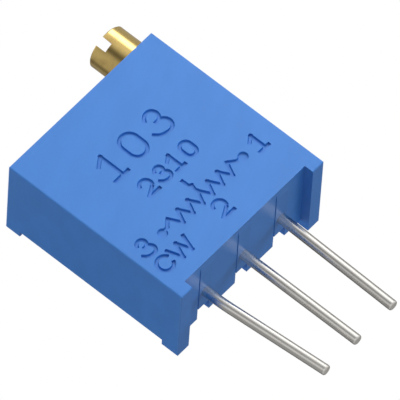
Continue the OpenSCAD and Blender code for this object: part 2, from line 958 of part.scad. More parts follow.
housing();
adjustment_screw();
screw_seal();
screw_clip();
worm_wheel();
wiper_spring();
substrate();
resistive_track();
collector();
end_pad(1);  // end_pad_1
end_pad(3);  // end_pad_3
terminal(1);  // terminal_1
terminal(2);  // terminal_2
terminal(3);  // terminal_3
terminal_plug(1);  // terminal_plug_1
terminal_plug(2);  // terminal_plug_2
terminal_plug(3);  // terminal_plug_3
solder(1);  // solder_1
solder(2);  // solder_2
solder(3);  // solder_3
rear_seal();
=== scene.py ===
# %% [markdown]
# # A square trimmer potentiometer
# The real part is a blue moulded case about a centimetre square. A slotted
# brass screw stands out of one end and three tinned wires out of the other.
# Inside, the screw is a worm that turns a nylon wheel, and the wheel carries
# a spring wiper over a fired resistive film.
#
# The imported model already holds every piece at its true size, so this lesson
# is about looks: finishes made with nodes, three wires and a poured seal made
# with numpy, a light tent for the metal, and a long lens for the view.

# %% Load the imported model
import bpy
import json
import math
import numpy as np
from mathutils import Matrix, Vector


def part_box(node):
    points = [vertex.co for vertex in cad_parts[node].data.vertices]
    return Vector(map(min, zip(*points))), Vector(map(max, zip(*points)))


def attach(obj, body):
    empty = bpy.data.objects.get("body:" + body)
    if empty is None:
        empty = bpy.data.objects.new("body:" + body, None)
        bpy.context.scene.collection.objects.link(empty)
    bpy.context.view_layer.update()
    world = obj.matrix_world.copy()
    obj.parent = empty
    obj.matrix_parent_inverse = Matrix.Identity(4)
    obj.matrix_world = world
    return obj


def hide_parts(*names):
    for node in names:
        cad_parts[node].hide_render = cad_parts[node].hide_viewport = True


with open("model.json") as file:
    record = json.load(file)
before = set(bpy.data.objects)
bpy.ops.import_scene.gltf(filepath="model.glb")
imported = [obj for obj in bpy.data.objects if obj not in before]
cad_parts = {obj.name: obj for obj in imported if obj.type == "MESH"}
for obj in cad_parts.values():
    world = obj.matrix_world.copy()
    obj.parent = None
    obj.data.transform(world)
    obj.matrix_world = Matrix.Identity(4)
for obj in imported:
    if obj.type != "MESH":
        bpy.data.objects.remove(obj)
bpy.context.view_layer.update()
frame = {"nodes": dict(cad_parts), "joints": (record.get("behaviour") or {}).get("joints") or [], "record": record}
MM = 0.001
mounts = {mount["name"]: mount for mount in frame["record"]["mounts"]}

# %% [markdown]
# ## The camera
# A small part looks calm through a long lens from far away, because near and
# far edges then keep almost the same scale. The camera is placed by three
# angles around a target inside the part: its azimuth, its elevation, which is
# below the horizon here, and a roll that lays the case on a slant.

# %% Place the camera
AZIMUTH, ELEVATION, ROLL = -26.775, -19.011, -53.044
DISTANCE = 0.62855
LENS, SENSOR = 1290.62, 36
NEAREST, FARTHEST = 0.01, 5
TARGET = Vector((0.509, -0.667, 3.419)) * MM


def camera_axes(azimuth, elevation, roll):
    """The camera's right, up and back directions. Back points from the target to the
    camera, and the roll turns right and up about it."""
    a, e, r = (math.radians(angle) for angle in (azimuth, elevation, roll))
    back = Vector((math.sin(a) * math.cos(e), -math.cos(a) * math.cos(e), math.sin(e)))
    level = Vector((math.cos(a), math.sin(a), 0))
    right = level * math.cos(r) + back.cross(level) * math.sin(r)
    return right, back.cross(right), back


axes = camera_axes(AZIMUTH, ELEVATION, ROLL)
turned = Matrix(axes).transposed().to_4x4()
camera = bpy.data.objects.new("camera", bpy.data.cameras.new("camera"))
camera.data.lens = LENS
camera.data.sensor_width = SENSOR
camera.data.clip_start = NEAREST
camera.data.clip_end = FARTHEST
camera.matrix_world = Matrix.Translation(TARGET + axes[2] * DISTANCE) @ turned
bpy.context.scene.collection.objects.link(camera)
bpy.context.scene.camera = camera
print("camera at", [round(v, 3) for v in camera.matrix_world.translation])

# %% [markdown]
# ## Node maths written as Python
# Building shaders from Python is easier to read when a socket can be used in
# an expression. The class below wraps one output socket: adding, subtracting
# or multiplying it with a number or another socket makes the Math node for
# it. Every other node comes from one method of the finish it belongs to.

# %% A socket that can be used in an expression
class Value:
    """One output socket of a finish. Its operators add Math nodes to the same finish."""

    def __init__(self, finish, socket):
        self.finish = finish
        self.socket = socket

    def math(self, operation, other):
        return self.finish.node("ShaderNodeMath", {"operation": operation}, {0: self, 1: other})

    def __add__(self, other):
        return self.math("ADD", other)

    def __radd__(self, other):
        return self.math("ADD", other)

    def __mul__(self, other):
        return self.math("MULTIPLY", other)

    def __rmul__(self, other):
        return self.math("MULTIPLY", other)

    def __sub__(self, other):
        return self.math("SUBTRACT", other)

    def __rsub__(self, other):
        return (self * -1) + other

    def __pow__(self, other):
        return self.math("POWER", other)


print("a socket can be added, subtracted, multiplied and raised to a power")


# %% A finish, which is one material
class Finish:
    """A material with one Principled surface. Plain numbers and colours are written into
    the shader's own sockets, and values are linked to them."""

    def __init__(self, name):
        self.material = bpy.data.materials.new(name)
        self.material.use_nodes = True
        self.tree = self.material.node_tree
        self.surface = self.tree.nodes["Principled BSDF"]

    def put(self, socket, value):
        """Links a value to a socket, or writes a plain number or colour into it."""
        if isinstance(value, Value):
            self.tree.links.new(value.socket, socket)
        elif socket.type == "RGBA":
            socket.default_value = (*value[:3], 1)
        else:
            socket.default_value = value

    def node(self, kind, settings=(), inputs=(), output=0):
        """Adds a node of this kind, sets its settings, then its sockets."""
        made = self.tree.nodes.new(kind)
        for key, value in dict(settings).items():
            setattr(made, key, value)
        for key, value in dict(inputs).items():
            self.put(made.inputs[key], value)
        return Value(self, made.outputs[output])

    def set(self, **sockets):
        """Sets the shader's sockets, written as base_color=..., roughness=... and so on."""
        for key, value in sockets.items():
            name = key.replace("_", " ").title().replace("Ior", "IOR")
            self.put(self.surface.inputs[name], value)
        return self

    def millimetres(self, turn=(0, 0, 0), centre=(0, 0, 0), stretch=(1, 1, 1)):
        """Object coordinates in millimetres from a centre, then turned in degrees, then stretched."""
        place = self.node("ShaderNodeTexCoord", output="Object")
        moved = self.node("ShaderNodeVectorMath", {"operation": "SUBTRACT"}, {0: place, 1: centre})
        angles = [math.radians(t) for t in turn]
        turned = self.node("ShaderNodeMapping", {}, {"Vector": moved, "Rotation": angles})
        scale = [s / MM for s in stretch]
        return self.node("ShaderNodeVectorMath", {"operation": "MULTIPLY"}, {0: turned, 1: scale})

    def noise(self, where, scale, detail=2, roughness=0.5):
        inputs = {"Vector": where, "Scale": scale, "Detail": detail, "Roughness": roughness}
        return self.node("ShaderNodeTexNoise", {}, inputs)

    def parts(self, vector):
        """The three numbers of a vector."""
        split = self.tree.nodes.new("ShaderNodeSeparateXYZ")
        self.put(split.inputs[0], vector)
        return [Value(self, socket) for socket in split.outputs]

    def vector(self, x, y, z):
        return self.node("ShaderNodeCombineXYZ", {}, {0: x, 1: y, 2: z})

    def facing_up(self):
        """1 on faces that look up, towards the screw, and -1 on faces that look down."""
        return self.parts(self.node("ShaderNodeNewGeometry", output="True Normal"))[2]

    def band(self, value, low, high):
        """0 where the value is at low, 1 where it is at high, smooth between them."""
        settings = {"interpolation_type": "SMOOTHSTEP"}
        inputs = {"Value": value, "From Min": low, "From Max": high}
        return self.node("ShaderNodeMapRange", settings, inputs)

    def blend(self, factor, first, second):
        """The first colour where the factor is 0, the second where it is 1."""
        inputs = {0: factor, 6: first, 7: second}
        return self.node("ShaderNodeMix", {"data_type": "RGBA"}, inputs, output=2)

    def bump(self, height, depth, under=None):
        """A relief of this depth in millimetres, on top of another relief if one is given."""
        inputs = {"Height": height, "Distance": depth * MM, "Strength": 1.0}
        if under is not None:
            inputs["Normal"] = under
        return self.node("ShaderNodeBump", {}, inputs)


print("finish tools ready")

# %% [markdown]
# ## The moulded case
# The case is glass-filled polyester from a spark-eroded mould, so its skin has
# a fine satin grain, a little cloudiness in the colour where the melt flowed,
# and a smoother skin on the pin end, where the tool was polished. One noise
# could do for all of it, but then colour, sheen and grain would keep the same
# size, which moulded plastic never does. So there are noises of several sizes:
# large ones for the colour, a middle one for the sheen, and a fine grain on a
# wide, shallow sink for the relief.

# %% Finish of the case and the plugs
SATIN, POLISHED = 0.42, 0.32
GRAIN_DEPTH, SINK_DEPTH = 0.0022, 0.006
PLASTIC_IOR = 1.7
CASE_BLUE = (0.029, 0.207, 0.66)
PLUG_BLUE = [0.94 * c for c in CASE_BLUE]


def moulded(name, colour, flow_turn):
    """Satin plastic. Colour = base colour, lightened and darkened a little by a large
    noise stretched along the flow and by specks, three parts to one. Roughness = satin
    level, less on the pin end, plus a tenth of a middle noise. Relief = fine grain of a
    few micrometres, fainter on the pin end, on a wider sink."""
    finish = Finish(name)
    place = finish.millimetres()
    along_flow = finish.millimetres(turn=(0, flow_turn, 0), stretch=(0.5, 1, 1.6))
    flow = finish.noise(along_flow, 0.55, 4, 0.55)
    specks = finish.noise(place, 9, 2, 0.6)
    shade = finish.band(flow * 0.75 + specks * 0.25, 0.34, 0.66)
    darker = [0.96 * c for c in colour]
    lighter = [1.03 * c + 0.002 for c in colour]
    satin = finish.band(finish.facing_up(), -0.9, -0.6)
    sheen = finish.noise(place, 3.2, 3, 0.6)
    grain = finish.noise(place, 26, 3, 0.65) * (satin * 0.8 + 0.2)
    sink = finish.noise(place, 1.1, 1)
    finish.set(
        base_color=finish.blend(shade, darker, lighter),
        roughness=satin * (SATIN - POLISHED) + (sheen * 0.1 + (POLISHED - 0.05)),
        normal=finish.bump(grain, GRAIN_DEPTH, finish.bump(sink, SINK_DEPTH)),
        ior=PLASTIC_IOR,
    )
    return finish.material


case_blue = moulded("case_blue", CASE_BLUE, 25)
plug_blue = moulded("plug_blue", PLUG_BLUE, 80)
print("case colour", CASE_BLUE)

# %% [markdown]
# ## Turned brass
# The screw is cut on an automatic lathe. The tool leaves fine rings around the
# axis, which spread the reflections along the screw, and the metal has warm
# and dull patches. The rings depend only on the radius and the height: both go
# into one noise, at a fine scale, so that sides, top and bevel all get them.

# %% Finish of the screw
RINGS_PER_MM, COARSE_RINGS_PER_MM = 30, 6
screw_joint = next(joint for joint in frame["joints"] if joint["name"] == "screw_turn")
screw_axis = Vector(screw_joint["pos_m"])


def turned_brass():
    """Roughness and relief follow rings: a noise of (radius, height) times the rings in a
    millimetre. Colour = brass, duller and browner where a soft cloud noise and a coarser
    ring noise are high."""
    finish = Finish("turned_brass")
    place = finish.millimetres(centre=screw_axis)
    x, y, z = finish.parts(place)
    radius = (x * x + y * y) ** 0.5
    fine_place = finish.vector(radius * RINGS_PER_MM, z * RINGS_PER_MM, 0.0)
    coarse_place = finish.vector(radius * COARSE_RINGS_PER_MM, z * COARSE_RINGS_PER_MM, 3.0)
    rings = finish.noise(fine_place, 1.0, 3, 0.7)
    coarse = finish.noise(coarse_place, 1.0, 1)
    cloud = finish.band(finish.noise(place, 1.6, 3, 0.6), 0.42, 0.7)
    bright, dull = (0.88, 0.645, 0.235), (0.68, 0.475, 0.17)
    finish.set(
        base_color=finish.blend(cloud * 0.7 + coarse * 0.2, bright, dull),
        metallic=1.0,
        roughness=rings * 0.1 + (cloud * 0.08 + 0.12),
        normal=finish.bump(rings, 0.0008),
    )
    return finish.material


brass = turned_brass()
print("screw axis in mm", [round(v / MM, 3) for v in screw_axis])

# %% [markdown]
# ## Tinned wire
# Each pin is copper wire drawn through a die and dipped in tin. Drawing leaves
# faint lines along the wire, and the tin dries in a skin that is smooth but
# slightly uneven. The cropped tip is torn metal, so it is rougher and darker.
# The pattern has to follow the wire around its bend, so the mesh brings its
# own coordinates: the place of each point on the wire as if it had never been
# bent. They are kept on the mesh under the name in UNBENT.

# %% Finish of the wires
UNBENT = "unbent"
LINES_ACROSS, LINES_ALONG = 9, 0.2
LINE_DEPTH, SKIN_DEPTH = 0.002, 0.006


def tinned():
    """Lines along the wire come from a noise that changes 45 times faster across the wire
    than along it, and the uneven skin from a rounder noise. Faces that look straight down
    are the cropped tip."""
    finish = Finish("tinned_wire")
    place = finish.node("ShaderNodeAttribute", {"attribute_name": UNBENT}, output="Vector")
    x, y, z = finish.parts(place)
    drawn = finish.noise(finish.vector(x * LINES_ACROSS, y * LINES_ACROSS, z * LINES_ALONG), 1.0)
    skin = finish.noise(finish.vector(x, y, z * 0.4), 1.8)
    spots = finish.band(finish.noise(finish.vector(x, y, z * 0.7), 3.4, 4, 0.7), 0.58, 0.74)
    clean, dull, cut = (0.70, 0.68, 0.645), (0.50, 0.475, 0.44), (0.58, 0.56, 0.52)
    cropped = finish.band(finish.facing_up(), -0.75, -0.95)
    drawn_skin = finish.blend(spots * 0.55 + drawn * 0.25, clean, dull)
    finish.set(
        base_color=finish.blend(cropped, drawn_skin, cut),
        metallic=1 - cropped * 0.4,
        roughness=skin * 0.1 + (drawn * 0.12 + (spots * 0.08 + (cropped * 0.32 + 0.12))),
        normal=finish.bump(drawn, LINE_DEPTH, finish.bump(skin, SKIN_DEPTH)),
    )
    return finish.material


tin = tinned()
print("the wires' finish reads the mesh's own coordinates:", UNBENT)

# %% [markdown]
# ## What is sealed inside
# Nothing of the inside shows until the part is taken apart, but each piece
# still has its own finish. One function makes the plain metals and another the
# ceramics and plastics, and each call names the few numbers that set it apart.

# %% Finishes of the inner metals
def rolled_metal(name, clean, dull, stretch, roughness):
    """Sheet or cast metal. A noise stretched along the rolling direction sets roughness
    and relief, and a cloud noise moves the colour between clean and dull."""
    finish = Finish(name)
    rolled = finish.noise(finish.millimetres(stretch=stretch), 1.0, 3, 0.6)
    cloud = finish.band(finish.noise(finish.millimetres(), 1.8, 3, 0.6), 0.4, 0.68)
    finish.set(
        base_color=finish.blend(cloud, clean, dull),
        metallic=1.0,
        roughness=rolled * 0.2 + roughness,
        normal=finish.bump(rolled, 0.002),
    )
    return finish.material


steel = rolled_metal("clip_steel", (0.62, 0.62, 0.62), (0.48, 0.47, 0.45), (1, 14, 14), 0.24)
bronze = rolled_metal("wiper_bronze", (0.80, 0.62, 0.36), (0.62, 0.43, 0.24), (1.5, 16, 16), 0.22)
silver = rolled_metal("silver_film", (0.80, 0.79, 0.75), (0.63, 0.60, 0.54), (6, 6, 6), 0.4)
solder = rolled_metal("solder", (0.68, 0.68, 0.67), (0.50, 0.50, 0.50), (3, 3, 3), 0.2)
print("inner metals:", steel.name, bronze.name, silver.name, solder.name)


# %% Finishes of the inner ceramics and plastics
def mineral(name, light, dark, speck, roughness, relief, cloud_scale=1.5):
    """Fired or moulded matter: specks of one size on clouds of another."""
    finish = Finish(name)
    place = finish.millimetres()
    specks = finish.noise(place, speck, 3, 0.7)
    clouds = finish.noise(place, cloud_scale, 3, 0.55)
    shade = finish.band(specks * 0.5 + clouds * 0.5, 0.36, 0.64)
    finish.set(
        base_color=finish.blend(shade, dark, light),
        roughness=specks * 0.18 + roughness,
        normal=finish.bump(specks, relief),
    )
    return finish.material


alumina = mineral("alumina", (0.84, 0.84, 0.81), (0.76, 0.755, 0.72), 22, 0.5, 0.002)
cermet = mineral("cermet", (0.05, 0.05, 0.055), (0.02, 0.02, 0.024), 34, 0.4, 0.003)
nylon = mineral("wheel_nylon", (0.79, 0.77, 0.70), (0.70, 0.68, 0.61), 12, 0.42, 0.0025, 0.9)
rubber = mineral("seal_rubber", (0.33, 0.05, 0.03), (0.23, 0.03, 0.02), 18, 0.55, 0.004)
epoxy = mineral("seal_epoxy", (0.050, 0.160, 0.440), (0.036, 0.125, 0.370), 7, 0.14, 0.004, 0.7)
print("ceramics and plastics:", alumina.name, cermet.name, nylon.name, rubber.name, epoxy.name)

# %% Give every node its finish
FINISHES = {
    "housing": case_blue,
    "terminal_plug_1": plug_blue,
    "terminal_plug_2": plug_blue,
    "terminal_plug_3": plug_blue,
    "adjustment_screw": brass,
    "screw_seal": rubber,
    "screw_clip": steel,
    "worm_wheel": nylon,
    "wiper_spring": bronze,
    "substrate": alumina,
    "resistive_track": cermet,
    "collector": silver,
    "end_pad_1": silver,
    "end_pad_3": silver,
    "terminal_1": tin,
    "terminal_2": tin,
    "terminal_3": tin,
    "solder_1": solder,
    "solder_2": solder,
    "solder_3": solder,
    "rear_seal": epoxy,
}
for name, node in frame["nodes"].items():
    node.data.materials.clear()
    node.data.materials.append(FINISHES[name])
print("finished nodes:", len(frame["nodes"]))

# %% [markdown]
# ## The pins
# A pin is one wire: upright in the case, pressed flat inside its plug so that
# it can't be pulled out, bent a little below the case and cropped at the tip.
# A surface swept along a path gives all of that. One parameter runs along the
# wire and one around it, the path gives the middle of each ring, and two half
# widths give its section. The bend is a short parabola where the two straight
# lines of the wire meet.

# %% Tools for curves and blends
def smooth(value, low, high):
    """0 below low, 1 above high, and 3 t^2 - 2 t^3 between them."""
    t = np.clip((value - low) / (high - low), 0, 1)
    return t * t * (3 - 2 * t)


def mix(first, second, share):
    """first (1 - share) + second share."""
    return first * (1 - share) + second * share


print("half way:", smooth(0.5, 0, 1), mix(2, 4, 0.5))


# %% A closed tube from a stack of rings
def with_ends(rings):
    """The points of all rings in one list, then the middles of the first and last ring."""
    return np.vstack([rings.reshape(-1, 3), rings[0].mean(0), rings[-1].mean(0)])


def tube_faces(along, around):
    """Quads between neighbouring rings, and at each end a fan from the ring's middle. Point
    j of ring i has the number i around + j, and the two middles come last."""
    i, j = np.meshgrid(np.arange(along - 1), np.arange(around), indexing="ij")
    here, beside = i * around + j, i * around + (j + 1) % around
    quads = np.stack([here, beside, beside + around, here + around], -1).reshape(-1, 4)
    ring = np.arange(around)
    after = (ring + 1) % around
    last_ring = (along - 1) * around
    low_middle = np.full(around, along * around)
    low = np.stack([low_middle, after, ring], -1)
    high = np.stack([low_middle + 1, ring + last_ring, after + last_ring], -1)
    return quads.tolist() + low.tolist() + high.tolist()


def closed_tube(name, rings):
    """A smooth closed object from an array of rings (along, around, 3) in millimetres."""
    mesh = bpy.data.meshes.new(name)
    mesh.from_pydata((with_ends(rings) * MM).tolist(), [], tube_faces(*rings.shape[:2]))
    mesh.polygons.foreach_set("use_smooth", np.ones(len(mesh.polygons), bool))
    mesh.update()
    piece = bpy.data.objects.new(name, mesh)
    bpy.context.scene.collection.objects.link(piece)
    return piece


print("faces of a tube of 3 rings of 8:", len(tube_faces(3, 8)))

# %% Measures of a wire
WIRE_R = mounts["pin_2"]["dims"]["r_mm"]
# The bend starts this far above its corner and ends as far below
BEND_REACH = 0.45
# Thickness, width and length of the pressed flat, and how fast it eases in
FLAT_T, FLAT_W, FLAT_LEN, FLAT_EASE = 0.36, 0.60, 0.58, 0.05
# Length of the rounding at the cropped tip, and the radius left at its end
CROP_LEN, CROP_R = 0.10, 0.185
TIP_MARGIN = 0.001
AROUND, ALONG, TIP_CROWDING = 40, 260, 1.6
# Keeps the pattern of one wire apart from the next
PATTERN_STEP = 5.0


def wire_path(number):
    """The upright part's x, the bend's corner height, the lean below it, and the wire's top
    and tip heights, in mm. The corner is where the leaning axis of the mount meets the
    upright line through the plug."""
    plug_low, plug_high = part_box(f"terminal_plug_{number}")
    low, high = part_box(f"terminal_{number}")
    mount = mounts[f"pin_{number}"]
    point, axis = Vector(mount["pos_m"]), Vector(mount["axis"])
    middle = (plug_low.x + plug_high.x) / 2
    lean = axis.x / -axis.z
    drop = (point.x - middle) / lean if abs(lean) > 1e-4 else 0
    corner = (point.z + drop) / MM
    return middle / MM, corner, lean, high.z / MM, low.z / MM


for number in (1, 2, 3):
    print("pin", number, [round(v, 3) for v in wire_path(number)])


# %% Shape of a wire
def middle_line(number, z):
    """x = middle + lean drop. The drop is d, how far z is below the corner, or 0 above it,
    and near the corner it is (d + reach)^2 / (4 reach). Also gives the slope of x."""
    middle, corner, lean = wire_path(number)[:3]
    d = corner - z
    near = abs(d) < BEND_REACH
    drop = np.where(near, (d + BEND_REACH) ** 2 / (4 * BEND_REACH), np.maximum(d, 0))
    slope = lean * np.where(near, (d + BEND_REACH) / (2 * BEND_REACH), d > 0)
    return middle + lean * drop, slope


def half_widths(number, z, tip):
    """Half the section along x and y: the wire's radius, pressed towards half the flat's
    thickness and width in the plug, and times a quarter-round profile at the tip."""
    plug_low, plug_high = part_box(f"terminal_plug_{number}")
    flat_middle = (plug_low.z + plug_high.z) / 2 / MM
    pressed = smooth(FLAT_LEN / 2 - abs(z - flat_middle), 0, FLAT_EASE)
    crop = np.clip(1 - (z - tip) / CROP_LEN, 0, 1)
    rounding = 1 - (1 - CROP_R / WIRE_R) * (1 - np.sqrt(1 - crop**2 * 0.999))
    thick = mix(WIRE_R, FLAT_T / 2, pressed) * rounding
    wide = mix(WIRE_R, FLAT_W / 2, pressed) * rounding
    return thick, wide


def wire_heights(number):
    """Heights of the rings from the top to the tip, closer together towards the tip. A
    leaning wire's last ring is tilted, so its middle stays above its lowest point."""
    lean, top, tip = wire_path(number)[2:]
    tip += CROP_R * abs(lean) / math.hypot(1, lean) + TIP_MARGIN
    share = np.linspace(0, 1, ALONG)
    return top - (top - tip) * (1 - (1 - share) ** TIP_CROWDING)


print("rings in a wire:", len(wire_heights(1)))


# %% Sweep the wires
def wire(number):
    """Each ring is an ellipse, x = thick cos t and y = wide sin t, that is turned square to
    the middle line and moved onto it."""
    z = wire_heights(number)
    x, slope = middle_line(number, z)
    thick, wide = half_widths(number, z, z[-1])
    t = np.linspace(0, 2 * math.pi, AROUND, endpoint=False)
    side = thick[:, None] * np.cos(t)
    depth = wide[:, None] * np.sin(t)
    steep = np.sqrt(1 + slope**2)[:, None]
    ring_x = x[:, None] + side / steep
    ring_z = z[:, None] + side * slope[:, None] / steep
    straight_z = np.broadcast_to(z[:, None], side.shape)
    # From the tip to the top, so that the faces point outwards
    bent = np.stack([ring_x, depth, ring_z], -1)[::-1]
    unbent = np.stack([side + number * PATTERN_STEP, depth, straight_z], -1)[::-1]
    piece = closed_tube(f"wire_{number}", bent)
    layer = piece.data.attributes.new(UNBENT, "FLOAT_VECTOR", "POINT")
    layer.data.foreach_set("vector", with_ends(unbent).astype(np.float32).ravel())
    piece.data.materials.append(tin)
    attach(piece, "case")
    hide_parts(f"terminal_{number}")
    return piece


for piece in (wire(1), wire(2), wire(3)):
    print(piece.name, len(piece.data.polygons), "faces")

# %% [markdown]
# ## The poured seal
# The back is closed with a liquid resin that sets in place, so its face isn't
# flat. It creeps up the walls, sags a little in the middle and keeps a few
# burst bubbles. A height field suits a liquid well: one function gives the
# level at each point, and the distance to the nearest wall drives the creep.
# The same function fills the three slots behind the plugs, where the resin
# ran down and stopped in a small arch.

# %% Measures of the resin
seal_low, seal_high = (Vector(v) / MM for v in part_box("rear_seal"))
plug_boxes = [[Vector(v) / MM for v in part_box(f"terminal_plug_{n}")] for n in (1, 2, 3)]
FLOOR_TOP = plug_boxes[0][1].z
# Gap between a plug and its slot
FIT = 0.01
CREEP_RISE, CREEP_REACH = 0.11, 0.16
SAG, WAVE = 0.05, 0.008
ARCH_RISE = 0.07
PIT_COUNT, PIT_INSET = 26, 0.5
dice = np.random.default_rng(7)
pit_x = dice.uniform(seal_low.x + PIT_INSET, seal_high.x - PIT_INSET, PIT_COUNT)
pit_z = dice.uniform(FLOOR_TOP + PIT_INSET, seal_high.z - PIT_INSET, PIT_COUNT)
pit_r = dice.uniform(0.03, 0.13, PIT_COUNT)
print("burst bubbles:", PIT_COUNT, "largest radius in mm:", round(pit_r.max(), 3))


# %% Level of the resin
def wall_distance(x, z):
    """Distance to the nearest wall. The lower wall is open at each slot, where the nearest
    points are the slot's two sides."""
    nearest = np.minimum(seal_high.x - abs(x), seal_high.z - z)
    below = z - FLOOR_TOP
    for low, high in plug_boxes:
        middle, half = (low.x + high.x) / 2, (high.x - low.x) / 2 + FIT
        outside = abs(x - middle) - half
        side = np.where(below > 0, np.hypot(np.minimum(outside, 0), below), -outside)
        below = np.where(outside < 0, side, below)
    return np.maximum(np.minimum(nearest, below), 0)


def pit_depth(x, z):
    """Each pit is a bowl, 0.5 r e^-(1.3 d)^4, with a faint rim, 0.1 r e^-((d - 1.15) / 0.25)^2,
    where d is the distance to its middle over its radius r."""
    d = np.hypot(x[..., None] - pit_x, z[..., None] - pit_z) / pit_r
    bowls = 0.5 * np.exp(-((1.3 * d) ** 4))
    rims = 0.1 * np.exp(-(((d - 1.15) / 0.25) ** 2))
    return (pit_r * (bowls - rims)).sum(-1)


def resin_level(x, z):
    """level + rise e^(-distance / reach) - sag (1 - u^2)(1 - v^2) + waves - pits, where u
    and v run from -1 to 1 across the pocket."""
    creep = CREEP_RISE * np.exp(-wall_distance(x, z) / CREEP_REACH)
    u = x / seal_high.x
    v = (2 * z - seal_high.z - FLOOR_TOP) / (seal_high.z - FLOOR_TOP)
    bowl = SAG * np.clip(1 - u**2, 0, 1) * np.clip(1 - v**2, 0, 1)
    waves = np.sin(1.9 * x + 0.8 * z) + np.sin(2.7 * z - 1.1 * x + 1) * np.cos(0.9 * x)
    return seal_high.y + creep - bowl + WAVE * waves - pit_depth(x, z)


print("resin level in mm:", round(float(resin_level(np.array(0.0), np.array(5.0))), 3))


# %% A slab between two faces
def slab_faces(rows, columns):
    """The back grid's quads, the front grid's quads turned round, and a strip of quads
    around the border. The front grid's points come after the back grid's."""
    count = rows * columns
    index = np.arange(count).reshape(rows, columns)
    back = np.stack([index[:-1, :-1], index[1:, :-1], index[1:, 1:], index[:-1, 1:]], -1).reshape(-1, 4)
    front = back[:, ::-1] + count
    rim = np.concatenate([index[0, :], index[1:, -1], index[-1, -2::-1], index[-2:0:-1, 0]])
    after = np.roll(rim, -1)
    strip = np.stack([rim, after, after + count, rim + count], -1)
    return np.concatenate([back, front, strip])


def slab(name, back, front):
    """A closed piece of resin between two grids of points (rows, columns, 3) in
    millimetres. Only its back face, the free surface, is shaded smooth."""
    rows, columns = back.shape[:2]
    mesh = bpy.data.meshes.new(name)
    points = np.concatenate([back.reshape(-1, 3), front.reshape(-1, 3)]) * MM
    mesh.from_pydata(points.tolist(), [], slab_faces(rows, columns).tolist())
    back_count = (rows - 1) * (columns - 1)
    mesh.polygons.foreach_set("use_smooth", np.arange(len(mesh.polygons)) < back_count)
    mesh.update()
    piece = bpy.data.objects.new(name, mesh)
    bpy.context.scene.collection.objects.link(piece)
    piece.data.materials.append(epoxy)
    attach(piece, "case")
    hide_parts("rear_seal")
    return piece


print("faces of a slab of 3 by 3 points:", len(slab_faces(3, 3)))

# %% Pour the resin
POOL_COLUMNS, POOL_ROWS = 221, 201
TAB_COLUMNS, TAB_ROWS = 31, 13


def poured(name, x, bottom, top, front_y, rows):
    """Resin over the places x, from a bottom height at each of them up to one top height.
    Its back face is the resin's level and its front face is flat."""
    z = mix(bottom, top, np.linspace(0, 1, rows)[:, None])
    x = np.broadcast_to(x, z.shape)
    back = np.stack([x, resin_level(x, z), z], -1)
    front = np.stack([x, np.full_like(z, front_y), z], -1)
    return slab(name, back, front)


def poured_tab(number):
    """Resin in one slot. Its lower end is an arch, level + rise (1 - w^2), where w runs
    from -1 to 1 across the slot."""
    low, high = plug_boxes[number - 1]
    x = np.linspace(low.x - FIT, high.x + FIT, TAB_COLUMNS)
    w = np.linspace(-1, 1, TAB_COLUMNS)
    arch = seal_low.z + ARCH_RISE * (1 - w**2)
    return poured(f"seal_tab_{number}", x, arch, FLOOR_TOP, high.y, TAB_ROWS)


pool_x = np.linspace(seal_low.x, seal_high.x, POOL_COLUMNS)
pool_floor = np.full(POOL_COLUMNS, FLOOR_TOP)
pool = poured("poured_seal", pool_x, pool_floor, seal_high.z, seal_low.y, POOL_ROWS)
for piece in (pool, poured_tab(1), poured_tab(2), poured_tab(3)):
    print(piece.name, len(piece.data.polygons), "faces")

# %% [markdown]
# ## Light
# Metal shows what stands around it, so it needs something to show. A light
# tent, seen only in reflections, gives it a bright side to the right of the
# camera, a dark side behind the camera and grey sides elsewhere, so that round
# wires and the screw get their lengthwise bands. It could be built from many
# small lamps, but a sphere whose brightness is a function of the direction is
# simpler and has no seams. Three bands set it, each with a few bright or dark
# panels on a plain cloth: the wires reflect the low band and the floor band,
# and the screw the high one.
#
# Plastic is lit by four large soft lamps, which don't show in reflections: the
# key lamp at the front right, one at the left, one under the pin end and one
# behind for the other views. An even room fills the shadows.

# %% Levels of the light tent
TENT_R, TENT_CENTRE = 50, (0, 0, 5)
TENT_STEP, TENT_END = 4, 84
# A panel is its azimuth from the side of the marked face, the half widths of its full
# middle and of its faded edge, all in degrees, and its level
DARK_LOW, WINDOW_LOW, KEY_LOW = (-165, 5, 36, 0.14), (-55, 0, 32, 0.93), (37, 0, 54, 1.75)
DARK_FLOOR, WINDOW_FLOOR, KEY_FLOOR = (165, 30, 68, 0.17), (-38, 2, 50, 0.98), (52, 4, 54, 1.26)
DARK_HIGH, WINDOW_HIGH, GAP_HIGH = (-157, 17, 46, 0.03), (-78, 4, 36, 0.49), (-25, 1, 28, 0.12)
FRONT_HIGH, KEY_HIGH = (36, 16, 48, 0.75), (50, 7, 19, 3.1)
# A band is the level of its bare cloth, then its panels
LOW_BAND = (0.36, [DARK_LOW, WINDOW_LOW, KEY_LOW])
FLOOR_BAND = (0.65, [DARK_FLOOR, WINDOW_FLOOR, KEY_FLOOR])
HIGH_BAND = (0.40, [DARK_HIGH, WINDOW_HIGH, GAP_HIGH, FRONT_HIGH, KEY_HIGH])
# Angles above or below the horizon, in degrees, between which one band fades to the next
FLOOR_FADE, HIGH_FADE, TOP_FADE, DEEP_FADE = (1, 13), (9, 17), (45, 75), (30, 38)
TOP_LEVEL, DEEP_LEVEL, DEEP_KEPT, BOTTOM_LEVEL = 0.8, 0.3, 0.4, 0.2
# A soft spot that lights the left edge of the screw
SPOT_LEVEL, SPOT_AZIMUTH, SPOT_ELEVATION = 0.6, -165, 31
SPOT_WIDTH, SPOT_HEIGHT = 28, 4.5


def band_level(band, azimuth):
    """The cloth's level, with each panel mixed in where it hangs. A panel keeps its own level
    out to the half width of its middle, and has faded away at that of its edge."""
    level, panels = band
    for centre, middle, edge, own in panels:
        away = abs((azimuth - centre + 180) % 360 - 180)
        level = mix(own, level, smooth(away, middle, edge))
    return level


